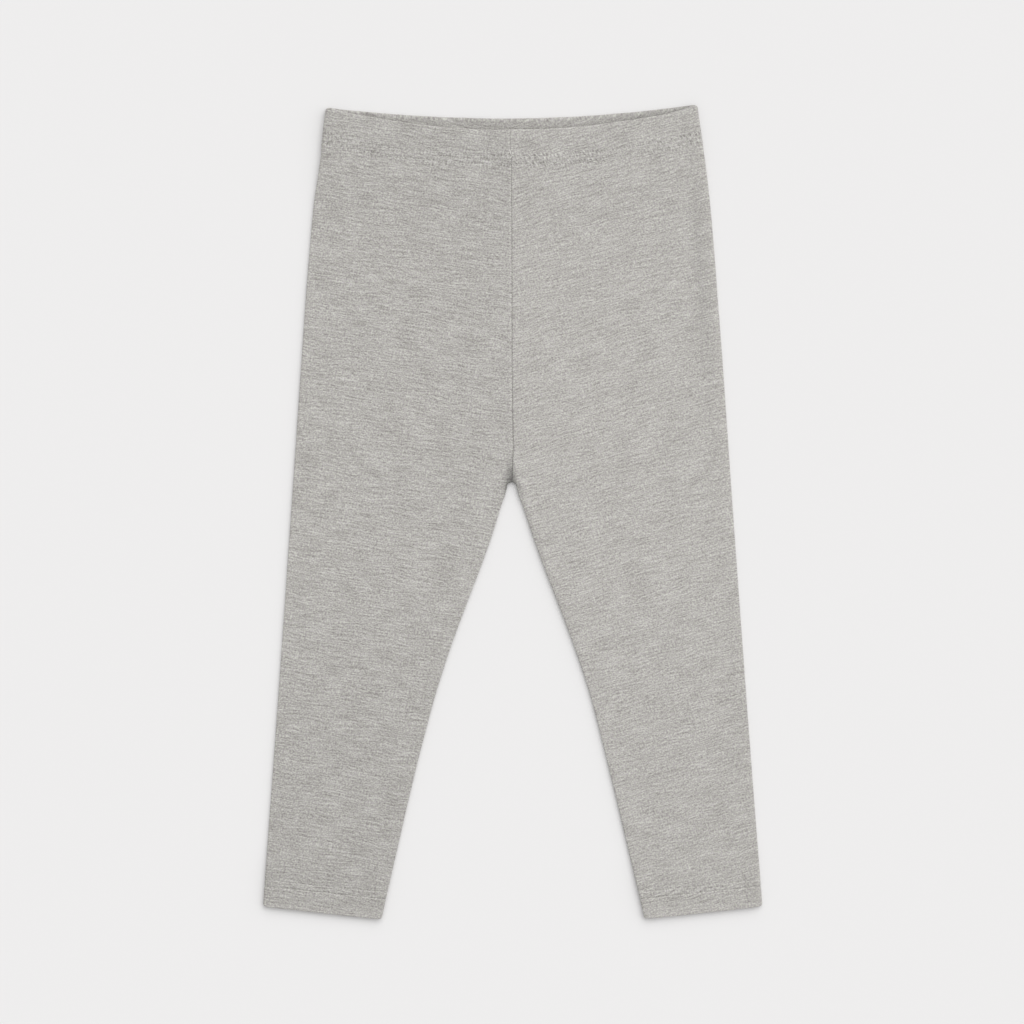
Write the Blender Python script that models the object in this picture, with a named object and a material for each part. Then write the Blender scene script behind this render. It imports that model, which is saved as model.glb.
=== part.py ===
"""Toddler's jersey leggings, laid out flat with their front up.

Metres. X runs to the wearer's left, Y towards the waist and Z up, off the table.
The origin is on the table, under the middle of the garment's outline.

Each leg is cut in one piece. It runs from the centre-front seam over the front, round
the side fold and along the back to the centre-back seam, and below the crotch its two
edges meet in the inseam. At the top the cloth turns down over an elastic as the waist
casing, and at the bottom it turns up as the hem, so those walls are thicker.

All walls are made one way: the outer surface is a grid of sections, worked out row by
row from waist to hem, and the wall's thickness goes inwards from it.
"""

import math
from collections import namedtuple

import bmesh
import bpy
from mathutils import Vector

MM = 0.001

# The outline. A drop is a distance down from the waist corners.
LENGTH = 488.4 * MM  # from the waist corners to the inner corners of the hems
WAIST_DIP_FRONT = 13.5 * MM  # how far the front waist edge sags at the centre seam
WAIST_DIP_BACK = 7.5 * MM  # the back waist edge stays higher
CROTCH_DROP = 225.3 * MM
CROTCH_ARCH = 2.7 * MM  # radius of the small arch between the legs
CROTCH_SIDE_DROP = 205.0 * MM  # where the section through the crotch meets the side fold
ARCH_SIDE_STEP = 4.0 * MM  # what each section round the arch moves down at the side
HEM_RISE = 8.0 * MM  # how much higher a hem's outer corner lies than its inner one
SEAM_GAP = 0.3 * MM  # between two pieces that are sewn to each other

# The cloth.
CLOTH = 1.0 * MM  # wall of single jersey
CASING_WALL = 2.2 * MM  # jersey, elastic and the turned-down jersey
HEM_WALL = 1.8 * MM  # jersey turned up once
CASING_DEPTH = 22.0 * MM
HEM_DEPTH = 17.5 * MM

# Height of the front's outer surface over the table.
LEG_STACK = 2.7 * MM
CASING_STACK = 5.0 * MM
HEM_STACK = 4.2 * MM
CASING_EASE = 46.0 * MM  # how far below the casing the front comes down to LEG_STACK
HEM_EASE = 24.0 * MM
CASING_PUFF = 0.25 * MM  # the elastic fills the casing between its two edges
EDGE_RISE = 0.5 * MM  # folds and the centre seam stand higher than flat cloth
EDGE_REACH = 5.0 * MM
CROTCH_RISE = 0.5 * MM  # four seams meet here
CROTCH_REACH = 11.0 * MM

# How finely the surface is divided.
FRONT_COLUMNS = 20
SIDE_COLUMNS = 5
BACK_COLUMNS = 10
INSEAM_COLUMNS = 5
CASING_ROWS = 4
RISE_ROWS = 12
RISE_CROWDING = 1.5  # above 1, rows lie closer together near the casing
ARCH_ROWS = 3
LEG_ROWS = 13
LEG_CROWDING = 1.4  # above 1, rows lie closer together near the crotch
HEM_ROWS = 3
RIM_STEPS = 3
EDGE_CROWDING = 0.4  # share of cosine spacing, which crowds columns at both edges

JERSEY_COLOUR = (0.462, 0.451, 0.423, 1.0)
JERSEY_ROUGHNESS = 0.92
SHARP_ANGLE = math.radians(50)  # faces that meet at more are shaded as an edge

EdgePoint = namedtuple("EdgePoint", "drop out")
SIDE_EDGE = [
    EdgePoint(drop * MM, out * MM)
    for drop, out in (
        (0, 112.1),
        (30, 115.8),
        (60, 119.3),
        (90, 122.0),
        (120, 124.3),
        (240, 132.6),
        (360, 141.1),
        (480, 150.0),
    )
]
INSEAM_EDGE = [
    EdgePoint(drop * MM, out * MM)
    for drop, out in (
        (228, 2.85),
        (234, 4.0),
        (240, 5.8),
        (270, 16.1),
        (300, 27.5),
        (330, 38.2),
        (360, 47.5),
        (420, 62.6),
        (488, 78.0),
    )
]

# Soft upright gathers that the elastic draws into the front, from side to side.
Gather = namedtuple("Gather", "at half_width height length")
GATHERS = [
    Gather(at * MM, half_width * MM, height * MM, length * MM)
    for at, half_width, height, length in (
        (-105, 7, 0.34, 80),
        (-82, 8, 0.40, 100),
        (-53, 10, 0.24, 60),
        (-25, 8, 0.28, 72),
        (13, 7, 0.30, 78),
        (34, 9, 0.22, 58),
        (56, 8, 0.38, 105),
        (76, 7, 0.34, 86),
        (97, 8, 0.40, 92),
    )
]
GATHER_PEAK = 14.0 * MM  # gathers stand highest this far below the casing
GATHER_IN_CASING = 0.3  # share of their height that shows in the casing itself

# One section of a piece. inner and outer are points on the outline as (x, drop), and
# inner_way and outer_way point from there into the cloth. With no inseam, the section
# is open at the centre seam, where front and back may end at different drops.
Row = namedtuple(
    "Row",
    "inner inner_way back_lift outer outer_way bow back_bow"
    " below_casing casing_share above_hem inseam",
)


def ease(share):
    """1 up to share 0, then a soft fall to 0 at share 1."""
    share = min(max(share, 0.0), 1.0)
    return (1.0 - share) ** 2 * (1.0 + 2.0 * share)


def bell(distance, reach):
    return math.exp(-((distance / reach) ** 2))


def mix(start, end, share):
    return start + (end - start) * share


def edge_at(table, drop):
    """(distance from the centre, slope) of a smooth edge through the table's points."""

    def slope_at(index):
        before = table[max(index - 1, 0)]
        after = table[min(index + 1, len(table) - 1)]
        return (after.out - before.out) / (after.drop - before.drop)

    index = 0
    while index < len(table) - 2 and drop > table[index + 1].drop:
        index += 1
    start, end = table[index], table[index + 1]
    span = end.drop - start.drop
    t = (drop - start.drop) / span
    rise = end.out - start.out
    slope_start, slope_end = slope_at(index), slope_at(index + 1)
    bend_start = slope_start * span - rise
    bend_end = rise - slope_end * span
    out = start.out + rise * t + t * (1 - t) * (bend_start * (1 - t) + bend_end * t)
    slope = (rise + (1 - 2 * t) * (bend_start * (1 - t) + bend_end * t)) / span
    slope += t * (1 - t) * (bend_end - bend_start) / span
    return out, slope


def side_point(drop):
    """A point on the side fold's outline, and the way into the cloth."""
    out, slope = edge_at(SIDE_EDGE, drop)
    return Vector((out, drop)), Vector((-1.0, slope)).normalized()


def inseam_point(drop):
    out, slope = edge_at(INSEAM_EDGE, drop)
    return Vector((out, drop)), Vector((1.0, -slope)).normalized()


def fold_radius(stack):
    return (stack + EDGE_RISE) / 2


CROTCH_DIP = CROTCH_DROP - fold_radius(LEG_STACK) - CROTCH_SIDE_DROP


def rise_row(depth):
    """A section above the crotch, at a depth below the waist edge along the side."""
    share = max(0.0, (depth - CASING_DEPTH) / (CROTCH_SIDE_DROP - CASING_DEPTH))
    front_dip = mix(WAIST_DIP_FRONT, CROTCH_DIP, share)
    back_dip = mix(WAIST_DIP_BACK, CROTCH_DIP, share)
    outer, outer_way = side_point(depth)
    straighten = 1.0 - share / 2
    return Row(
        inner=Vector((SEAM_GAP / 2, depth + front_dip)),
        inner_way=Vector((0.0, 0.0)),
        back_lift=front_dip - back_dip,
        outer=outer,
        outer_way=outer_way,
        bow=front_dip * straighten,
        back_bow=back_dip * straighten,
        below_casing=depth - CASING_DEPTH,
        casing_share=depth / CASING_DEPTH,
        above_hem=LENGTH,
        inseam=False,
    )


def leg_row(inner, inner_way, side_drop, bow):
    """A section that goes all round one leg."""
    outer, outer_way = side_point(side_drop)
    return Row(
        inner=inner,
        inner_way=inner_way,
        back_lift=0.0,
        outer=outer,
        outer_way=outer_way,
        bow=bow,
        back_bow=bow,
        below_casing=side_drop - CASING_DEPTH,
        casing_share=1.0,
        above_hem=LENGTH - HEM_RISE - HEM_DEPTH - side_drop,
        inseam=True,
    )


def casing_rows():
    top = CASING_WALL / 2
    bottom = CASING_DEPTH - SEAM_GAP / 2
    return [rise_row(mix(top, bottom, k / CASING_ROWS)) for k in range(CASING_ROWS + 1)]


def leg_rows():
    """From the casing down to the crotch, round its arch, and on to the hem."""
    top = CASING_DEPTH + SEAM_GAP / 2
    rows = []
    for k in range(RISE_ROWS):
        rows.append(rise_row(mix(top, CROTCH_SIDE_DROP, (k / RISE_ROWS) ** RISE_CROWDING)))
    bow = CROTCH_DIP / 2
    for k in range(ARCH_ROWS):
        turn = math.radians(90) * k / ARCH_ROWS
        inner_way = Vector((math.sin(turn), -math.cos(turn)))
        centre = Vector((SEAM_GAP / 2, CROTCH_DROP + CROTCH_ARCH))
        side_drop = CROTCH_SIDE_DROP + k * ARCH_SIDE_STEP
        rows.append(leg_row(centre + CROTCH_ARCH * inner_way, inner_way, side_drop, bow))
    first_inner = INSEAM_EDGE[0].drop
    first_side = CROTCH_SIDE_DROP + ARCH_ROWS * ARCH_SIDE_STEP
    last_inner = LENGTH - HEM_DEPTH - SEAM_GAP / 2
    for k in range(LEG_ROWS + 1):
        share = (k / LEG_ROWS) ** LEG_CROWDING
        inner, inner_way = inseam_point(mix(first_inner, last_inner, share))
        side_drop = mix(first_side, last_inner - HEM_RISE, share)
        rows.append(leg_row(inner, inner_way, side_drop, bow * (1.0 - share)))
    return rows


def hem_rows():
    top = LENGTH - HEM_DEPTH + SEAM_GAP / 2
    bottom = LENGTH - HEM_WALL / 2
    rows = []
    for k in range(HEM_ROWS + 1):
        drop = mix(top, bottom, k / HEM_ROWS)
        inner, inner_way = inseam_point(drop)
        rows.append(leg_row(inner, inner_way, drop - HEM_RISE, 0.0))
    return rows


def stack_height(row):
    """Height of the front where nothing is folded or gathered."""
    casing = ease(row.below_casing / CASING_EASE) * (CASING_STACK - LEG_STACK)
    hem = ease(row.above_hem / HEM_EASE) * (HEM_STACK - LEG_STACK)
    in_casing = min(max(row.casing_share, 0.0), 1.0)
    return LEG_STACK + casing + hem + CASING_PUFF * math.sin(math.pi * in_casing)


def gather_height(x, below_casing):
    grown = 1.0 - (1.0 - GATHER_IN_CASING) * ease(below_casing / GATHER_PEAK)
    return sum(
        gather.height * bell(x - gather.at, gather.half_width) * grown
        * ease((below_casing - GATHER_PEAK) / gather.length)
        for gather in GATHERS
    )


def front_height(row, side, point, from_inner, from_outer):
    """Height of the front's outer surface at a point of a section."""
    height = stack_height(row) + gather_height(side * point.x, row.below_casing)
    height += EDGE_RISE * (bell(from_inner, EDGE_REACH) + bell(from_outer, EDGE_REACH))
    from_crotch = (point - Vector((0.0, CROTCH_DROP))).length
    return height + CROTCH_RISE * bell(from_crotch, CROTCH_REACH)


def spread(count):
    """Shares from 0 to 1, closer together near both ends."""
    for k in range(count + 1):
        even = k / count
        crowded = (1.0 - math.cos(math.pi * even)) / 2
        yield mix(even, crowded, EDGE_CROWDING)


def section_points(row, side):
    """(open part, inseam part) of a section as points of x, drop and z."""
    radius = fold_radius(stack_height(row))
    start = row.inner + row.inner_way * radius
    end = row.outer + row.outer_way * radius
    width = (end - start).length
    points = []
    for share in spread(FRONT_COLUMNS):
        point = start.lerp(end, share) + Vector((0.0, row.bow * share * (1.0 - share)))
        height = front_height(row, side, point, width * share, width * (1.0 - share))
        points.append(Vector((point.x, point.y, height)))
    front_start, front_end = points[0].z, points[-1].z
    for k in range(1, SIDE_COLUMNS):
        turn = math.radians(90 - 180 * k / SIDE_COLUMNS)
        point = row.outer + row.outer_way * radius * (1.0 - math.cos(turn))
        points.append(Vector((point.x, point.y, front_end * (1.0 + math.sin(turn)) / 2)))
    back_start = start - Vector((0.0, row.back_lift))
    for share in spread(BACK_COLUMNS):
        point = end.lerp(back_start, share) + Vector((0.0, row.back_bow * share * (1.0 - share)))
        points.append(Vector((point.x, point.y, 0.0)))
    inseam = []
    if row.inseam:
        for k in range(1, INSEAM_COLUMNS):
            turn = math.radians(-90 + 180 * k / INSEAM_COLUMNS)
            point = row.inner + row.inner_way * radius * (1.0 - math.cos(turn))
            inseam.append(Vector((point.x, point.y, front_start * (1.0 + math.sin(turn)) / 2)))
    return points, inseam


def outer_sheet(mesh, rows, side):
    """The outer surface of a piece, as rings of vertices joined by faces."""
    rings = []
    open_length = 0
    for row in rows:
        open_part, inseam = section_points(row, side)
        open_length = len(open_part)
        rings.append(
            [
                mesh.verts.new((side * point.x, LENGTH / 2 - point.y, point.z))
                for point in open_part + inseam
            ]
        )
    for upper, lower, row in zip(rings, rings[1:], rows):
        if row.inseam:
            upper, lower = upper + upper[:1], lower + lower[:1]
        else:
            upper, lower = upper[:open_length], lower[:open_length]
        for quad in zip(upper, lower, lower[1:], upper[1:]):
            mesh.faces.new(quad if side > 0 else quad[::-1])
    mesh.normal_update()
    return rings


def inward_copy(mesh, outer, wall):
    """Each outer vertex and its copy, moved in by the wall but not across the centre."""
    inner = {}
    for vertex in outer:
        inward = -vertex.normal
        if abs(abs(vertex.co.x) - SEAM_GAP / 2) < SEAM_GAP / 10:
            inward.x = 0.0
            inward.normalize()
        inner[vertex] = mesh.verts.new(vertex.co + inward * wall)
    return inner


def rolled_edge(mesh, outer, inner, neighbour):
    """Vertices from the outer to the inner one, round the edge where cloth turns back."""
    beyond = (outer.co - neighbour.co).normalized()
    middle = (outer.co + inner.co) / 2
    half = (outer.co - inner.co) / 2
    chain = [outer]
    for k in range(1, RIM_STEPS):
        turn = math.pi * k / RIM_STEPS
        bulge = beyond * half.length * math.sin(turn)
        chain.append(mesh.verts.new(middle + half * math.cos(turn) + bulge))
    return chain + [inner]


def jersey(name):
    material = bpy.data.materials.new(name)
    material.use_nodes = True
    shader = material.node_tree.nodes["Principled BSDF"]
    shader.inputs["Base Color"].default_value = JERSEY_COLOUR
    shader.inputs["Roughness"].default_value = JERSEY_ROUGHNESS
    shader.inputs["Metallic"].default_value = 0.0
    return material


def cloth_piece(name, rows, side, wall, turned_row=None):
    """A closed wall through the rows. turned_row is the one along a turned edge."""
    mesh = bmesh.new()
    rings = outer_sheet(mesh, rows, side)
    rims = [edge.link_loops[0] for edge in mesh.edges if edge.is_boundary]
    rims = [(loop.vert, loop.link_loop_next.vert) for loop in rims]
    quads = [tuple(face.verts) for face in mesh.faces]
    inner = inward_copy(mesh, list(mesh.verts), wall)
    for quad in quads:
        mesh.faces.new([inner[vertex] for vertex in reversed(quad)])

    chains = {vertex: [vertex, partner] for vertex, partner in inner.items()}
    if turned_row is not None:
        edge_ring = rings[turned_row]
        next_ring = rings[1] if turned_row == 0 else rings[-2]
        for vertex, neighbour in zip(edge_ring, next_ring):
            chains[vertex] = rolled_edge(mesh, vertex, inner[vertex], neighbour)
        if not rows[turned_row].inseam:
            mesh.faces.new(chains[edge_ring[0]])
            mesh.faces.new(chains[edge_ring[-1]])
    for start, end in rims:
        first, second = chains[start], chains[end]
        if len(first) != len(second):
            first, second = (start, inner[start]), (end, inner[end])
        for quad in zip(second, first, first[1:], second[1:]):
            mesh.faces.new(quad)

    bmesh.ops.recalc_face_normals(mesh, faces=mesh.faces)
    for face in mesh.faces:
        face.smooth = True
    data = bpy.data.meshes.new(name)
    mesh.to_mesh(data)
    mesh.free()
    data.set_sharp_from_angle(angle=SHARP_ANGLE)
    data.materials.append(jersey(name))
    piece = bpy.data.objects.new(name, data)
    bpy.context.scene.collection.objects.link(piece)
    return piece


def build_leggings():
    for thing in list(bpy.data.objects):
        bpy.data.objects.remove(thing, do_unlink=True)
    leggings = bpy.data.objects.new("leggings", None)
    bpy.context.scene.collection.objects.link(leggings)
    for name, side in (("left", 1), ("right", -1)):
        pieces = (
            cloth_piece(f"waistband_{name}", casing_rows(), side, CASING_WALL, turned_row=0),
            cloth_piece(f"leg_{name}", leg_rows(), side, CLOTH),
            cloth_piece(f"hem_{name}", hem_rows(), side, HEM_WALL, turned_row=-1),
        )
        for piece in pieces:
            piece.parent = leggings


build_leggings()
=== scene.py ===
# %% [markdown]
# # Leggings, laid out flat
# A pair of child's jersey leggings lies on a table with its front up. Each leg is one
# piece of cloth, from the centre-front seam round the side fold, which has no seam, to the
# centre-back seam. The waist edge is turned down over an elastic, the leg ends are turned
# up, and two rows of stitches hold each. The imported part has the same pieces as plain
# solids, and here thin knitted cloth takes their place.

import math
from collections import namedtuple

import bpy
import numpy as np
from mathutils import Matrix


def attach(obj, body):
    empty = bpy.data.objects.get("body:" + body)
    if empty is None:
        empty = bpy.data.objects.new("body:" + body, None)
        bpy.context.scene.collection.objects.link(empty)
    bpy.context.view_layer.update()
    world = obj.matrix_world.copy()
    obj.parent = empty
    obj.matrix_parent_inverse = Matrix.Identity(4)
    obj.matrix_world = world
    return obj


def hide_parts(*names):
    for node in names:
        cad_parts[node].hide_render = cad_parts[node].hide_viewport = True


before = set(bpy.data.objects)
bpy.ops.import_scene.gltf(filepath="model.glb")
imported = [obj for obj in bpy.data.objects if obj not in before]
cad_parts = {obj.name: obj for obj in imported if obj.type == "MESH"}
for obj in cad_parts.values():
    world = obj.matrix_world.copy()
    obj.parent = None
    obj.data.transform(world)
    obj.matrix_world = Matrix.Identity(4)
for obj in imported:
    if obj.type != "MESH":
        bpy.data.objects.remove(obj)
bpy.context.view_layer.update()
print("nodes:", ", ".join(sorted(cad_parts)))

# %% [markdown]
# ## The pattern
# A maker starts from the paper pattern, so the measures come first. A *drop* is a
# distance down from the waist corners and *out* is one from the centre line. The outline
# is a smooth curve through a short table of points, which is easy to change.

# %% Measures of the garment
MM = 0.001
LENGTH = 488.4 * MM
WAIST_DIP_FRONT = 14.1 * MM  # sag at the centre
WAIST_DIP_BACK = 7.5 * MM
CROTCH_DROP = 225.6 * MM
CROTCH_ARCH = 2.7 * MM
CROTCH_SIDE_DROP = 205 * MM
ARCH_SIDE_STEP = 12 * MM
HEM_RISE = 8 * MM  # of a hem's outer corner above its inner one
CASING_DEPTH = 22 * MM
HEM_DEPTH = 17.5 * MM
CASING_STITCHES = (16.7 * MM, 21.3 * MM)  # below the waist edge
HEM_STITCHES = (12 * MM, 15.9 * MM)  # above the leg end
# Radius of the corners, seen from above.
WAIST_CORNER, HEM_CORNER, HEM_CORNER_INSEAM = 2.3 * MM, 2.3 * MM, 2 * MM

SIDE_EDGE = [(0, 112.1), (30, 115.8), (60, 119.3), (90, 122), (120, 124.3), (240, 132.6),
             (360, 141.1), (480, 150)]
INSEAM_EDGE = [(228.9, 2.75), (234, 4.05), (240, 6.3), (270, 16.2), (300, 27.5), (330, 38.2),
               (360, 47.5), (420, 62.6), (488, 78)]


def edge_at(table, drop):
    """(out, slope) of the smooth edge through a table of points, at a drop."""
    drops, outs = np.array(table).T * MM
    last = len(drops) - 1
    before, after = [0, *range(last)], [*range(1, last + 1), last]
    slopes = (outs[after] - outs[before]) / (drops[after] - drops[before])
    k = int(np.clip(np.searchsorted(drops, drop) - 1, 0, last - 1))
    span, rise = drops[k + 1] - drops[k], outs[k + 1] - outs[k]
    t = (drop - drops[k]) / span
    bend_start, bend_end = slopes[k] * span - rise, rise - slopes[k + 1] * span
    bend = bend_start * (1 - t) + bend_end * t
    out = outs[k] + rise * t + t * (1 - t) * bend
    slope = (rise + (1 - 2 * t) * bend + t * (1 - t) * (bend_end - bend_start)) / span
    return out, slope


print(f"at the crotch the side fold is {edge_at(SIDE_EDGE, CROTCH_DROP)[0] / MM:.1f} mm out")

# %% [markdown]
# The legs were not cut quite alike, and the waist's front edge sags differently on each
# side. Small tables say by how much. Side 1 is the wearer's left, towards +X, and side -1
# is the right.

# %% How the two sides differ
# (drops in mm, {side: how many mm the edge lies further in}).
SIDE_TRIM = ((8, 22, 28, 42, 56, 115, 150, 250, 400, 478),
             {1: (-.12, -.18, 0, .1, .25, .46, .18, .13, -.12, -.33),
              -1: (.6, .65, 1.2, .8, .22, .14, .2, .28, .42, .42)})
INSEAM_TRIM = ((226, 236, 243, 250, 258, 272, 297, 321, 345, 368, 392, 440, 464, 478),
               {1: (0, .25, .3, .3, .4, .6, .65, .95, 1.25, 1.17, 1, 1, 1.23, 1.38),
                -1: (0, .28, .1, -.1, -.15, .1, .12, .32, .27, .29, .4, .2, .28, .3)})
# Sag of the front's waist edge beside the seam, how fast it fades, and sag near the side.
SAG = {1: (2.4 * MM, 1, 30 * MM), -1: (3.5 * MM, 4, 10 * MM)}
BACK_TIGHTER = {1: 0, -1: 0.9 * MM}  # the back sags less on the right


def trimmed(table, side, drop):
    drops, trims = table
    return np.interp(drop / MM, drops, trims[side]) * MM


def waist_sag(side, share):
    """Extra sag of the front's waist edge, from the seam at share 0 to the side at 1."""
    beside_seam, fade, near_side = SAG[side]
    return beside_seam * share * (1 - share) ** fade + near_side * share ** 8 * (1 - share)


def seam_drift(drop):
    """How far the centre seam lies off the centre line."""
    return np.interp(drop / MM, (0, 14, 26, 33, 60, 150, 178, 205, 217, 226, 240, 500),
                     (-.8, -.8, -.85, -.3, -.2, .0, .2, .7, .15, -.1, -.1, 0)) * MM


print("the left inseam lies up to", max(INSEAM_TRIM[1][1]), "mm further in")

# %% [markdown]
# ## Cloth thickness and height
# Laid flat, the two panels of a leg lie on each other, so the front is only a few
# millimetres above the table. It is higher at the waist, over the elastic, and at the
# hems, where the cloth is double. The springy knit makes a low ridge beside a fold.

# %% Heights of the front above the table
JERSEY = 0.8 * MM  # one layer of cloth
CASING_WALL = 2.1 * MM  # jersey, elastic and the turned-down jersey
HEM_WALL = 1.6 * MM
LEG_STACK, CASING_STACK, HEM_STACK = 2.2 * MM, 4.5 * MM, 3.4 * MM
CASING_EASE, HEM_EASE = 46 * MM, 24 * MM
CASING_PUFF = 0.25 * MM
# How far a fold reaches in from the outline.
FOLD_HALF, FOLD_HALF_CASING, FOLD_HALF_HEM = 0.60 * MM, 1.5 * MM, 1.1 * MM


def ease(share):
    """1 up to share 0, then a soft fall to 0 at share 1."""
    share = np.clip(share, 0, 1)
    return (1 - share) ** 2 * (1 + 2 * share)


def bell(distance, reach):
    return np.exp(-((distance / reach) ** 2))


def by_place(plain, at_casing, at_hem, from_waist, from_hem):
    """A measure that changes softly from the casing to the leg and on to the hem."""
    casing = ease((from_waist - CASING_DEPTH) / CASING_EASE) * (at_casing - plain)
    hem = ease((from_hem - HEM_DEPTH) / HEM_EASE) * (at_hem - plain)
    return plain + casing + hem


def stack_height(from_waist, from_hem):
    in_casing = min(from_waist / CASING_DEPTH, 1)
    return by_place(LEG_STACK, CASING_STACK, HEM_STACK, from_waist, from_hem) \
        + CASING_PUFF * math.sin(math.pi * in_casing)


def fold_half(from_waist, from_hem):
    """Half the width of the rounded fold."""
    return by_place(FOLD_HALF, FOLD_HALF_CASING, FOLD_HALF_HEM, from_waist, from_hem)


print(f"front at the waist {stack_height(0.011, 1) / MM:.2f}, at the thigh "
      f"{stack_height(0.2, 0.2) / MM:.2f} mm up")

# %% [markdown]
# ## Soft relief
# The elastic draws the front into upright gathers that fade out down the hips, and the
# legs have a few broad, shallow troughs. Cloth simulation would give random ones, so these
# are listed one by one, each with its length and depth.

# %% Gathers and troughs
Gather = namedtuple("Gather", "at half_width height length")
GATHERS = [Gather(*(value * MM for value in row)) for row in (
    (-105, 7, 0.34, 80), (-82, 8, 0.40, 100), (-53, 10, 0.24, 60), (-25, 8, 0.28, 72),
    (13, 7, 0.30, 78), (34, 9, 0.22, 58), (56, 8, 0.38, 105), (76, 7, 0.34, 86),
    (97, 8, 0.40, 92))]
GATHER_PEAK, GATHER_IN_CASING = 14 * MM, 0.3

# In mm, and the turn from upright in degrees.
Trough = namedtuple("Trough", "x drop half_length half_width depth turn")
TROUGHS = [Trough(*(value * MM for value in row), math.radians(turn)) for *row, turn in (
    (-92, 165, 50, 13, .22, 12), (-45, 190, 40, 11, .18, -24), (52, 150, 46, 12, .20, 18),
    (104, 120, 60, 10, .26, -6), (-90, 320, 52, 12, .20, -12), (-112, 400, 40, 10, .18, 8),
    (78, 300, 55, 13, .20, 16), (118, 390, 45, 11, .20, -10), (30, 235, 22, 8, .22, 58),
    (-28, 238, 22, 8, .20, -56))]


def gather_height(x, from_waist):
    below = from_waist - CASING_DEPTH
    grown = 1 - (1 - GATHER_IN_CASING) * ease(below / GATHER_PEAK)
    return sum(g.height * bell(x - g.at, g.half_width) * grown
               * ease((below - GATHER_PEAK) / g.length) for g in GATHERS)


def trough_depth(x, drop):
    depth = 0
    for t in TROUGHS:
        along = (x - t.x) * math.sin(t.turn) + (drop - t.drop) * math.cos(t.turn)
        across = (x - t.x) * math.cos(t.turn) - (drop - t.drop) * math.sin(t.turn)
        depth += t.depth * bell(along, t.half_length) * bell(across, t.half_width)
    return depth


def wave(distance, *terms):
    """A slow wave, from pairs of (wavelength in mm, phase)."""
    return sum(np.sin(2 * math.pi * distance / (length * MM) + phase)
               for length, phase in terms) / len(terms)


print(len(GATHERS), "gathers and", len(TROUGHS), "troughs")

# %% [markdown]
# ## Rows across the garment
# The cloth is worked out row by row, from the waist to the hem. Above the crotch a row is
# open at the centre seam. Below it a row goes all round one leg, and its ends meet in the
# inseam. A row knows its ends on the outline and the ways from there into the cloth. Rows
# lie closer together where the cloth is stitched.

# %% Rows from waist to hem
Row = namedtuple("Row", "inner inner_way back_lift outer outer_way bow back_bow "
                 "from_waist from_hem inseam")
SEAM_HALF_GAP = 0.05 * MM
CROTCH_DIP = CROTCH_DROP - FOLD_HALF - CROTCH_SIDE_DROP
ROW_STEP, FINE_STEP, FINE_REACH = 0.6 * MM, 0.3 * MM, 1.3 * MM  # in the casing and hems
RISE_TURN = CASING_DEPTH + 12 * MM  # the rise's steps are wider below this
ARCH_TURNS = np.linspace(0, math.pi / 2, 9)[:-1]
LEG_STEP = 2.5 * MM


def edge_point(table, drop, inward):
    """A point of an edge and its way in. Inward is 1 at the inseam and -1 at the side."""
    out, slope = edge_at(table, drop)
    way = np.array((inward, -inward * slope))
    return np.array((out, drop)), way / np.linalg.norm(way)


def corner(distance, radius):
    """How far a rounded corner pulls the outline in, this far before the end."""
    return radius - math.sqrt(radius ** 2 - max(0, radius - distance) ** 2)


def rise_row(depth):
    """A row above the crotch, at a depth below the waist edge."""
    share = max(0, (depth - CASING_DEPTH) / (CROTCH_SIDE_DROP - CASING_DEPTH))
    front_dip = WAIST_DIP_FRONT + (CROTCH_DIP - WAIST_DIP_FRONT) * share
    back_dip = WAIST_DIP_BACK + (CROTCH_DIP - WAIST_DIP_BACK) * share
    outer, outer_way = edge_point(SIDE_EDGE, depth, -1)
    outer += outer_way * corner(depth, WAIST_CORNER)
    straighten = 1 - share / 2
    return Row(np.array((SEAM_HALF_GAP, depth + front_dip)), np.zeros(2),
               front_dip - back_dip, outer, outer_way, front_dip * straighten,
               back_dip * straighten, depth, LENGTH, False)


def leg_row(inner, inner_way, side_drop, bow, from_hem):
    """A row that goes all round one leg."""
    outer, outer_way = edge_point(SIDE_EDGE, side_drop, -1)
    inner = inner + inner_way * corner(from_hem, HEM_CORNER_INSEAM)
    outer += outer_way * corner(from_hem, HEM_CORNER)
    return Row(inner, inner_way, 0, outer, outer_way, bow, bow, side_drop, from_hem, True)


def steps(start, end, size):
    return np.linspace(start, end, max(2, round(abs(end - start) / size)) + 1)


def steps_with_lines(start, end, lines):
    """Even steps, with finer ones near the lines of stitches."""
    coarse = [at for at in steps(start, end, ROW_STEP)
              if at == end or min(abs(at - line) for line in lines) > FINE_REACH]
    fine = [line + FINE_STEP * k for line in lines for k in range(-4, 5)]
    return sorted(coarse + [at for at in fine if start < at < end - 0.1 * MM])


def arch_rows():
    """Round the small arch between the legs, like a fan."""
    centre = np.array((SEAM_HALF_GAP, CROTCH_DROP + CROTCH_ARCH))
    for turn in ARCH_TURNS:
        way = np.array((math.sin(turn), -math.cos(turn)))
        side_drop = CROTCH_SIDE_DROP + ARCH_SIDE_STEP * turn / (math.pi / 2)
        yield leg_row(centre + CROTCH_ARCH * way, way, side_drop, CROTCH_DIP / 2, LENGTH)


def leg_rows():
    first, last = INSEAM_EDGE[0][0] * MM, LENGTH - HEM_DEPTH
    drops = steps(first, last, LEG_STEP)
    for drop in (*np.linspace(first, drops[8], 15), *drops[9:]):  # finer at first
        share = (drop - first) / (last - first)
        side_drop = (CROTCH_SIDE_DROP + ARCH_SIDE_STEP) * (1 - share) \
            + (last - HEM_RISE) * share
        yield leg_row(*edge_point(INSEAM_EDGE, drop, 1), side_drop,
                      CROTCH_DIP / 2 * (1 - share), LENGTH - drop)


def hem_row(up):
    return leg_row(*edge_point(INSEAM_EDGE, LENGTH - up, 1), LENGTH - up - HEM_RISE, 0, up)


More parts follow.
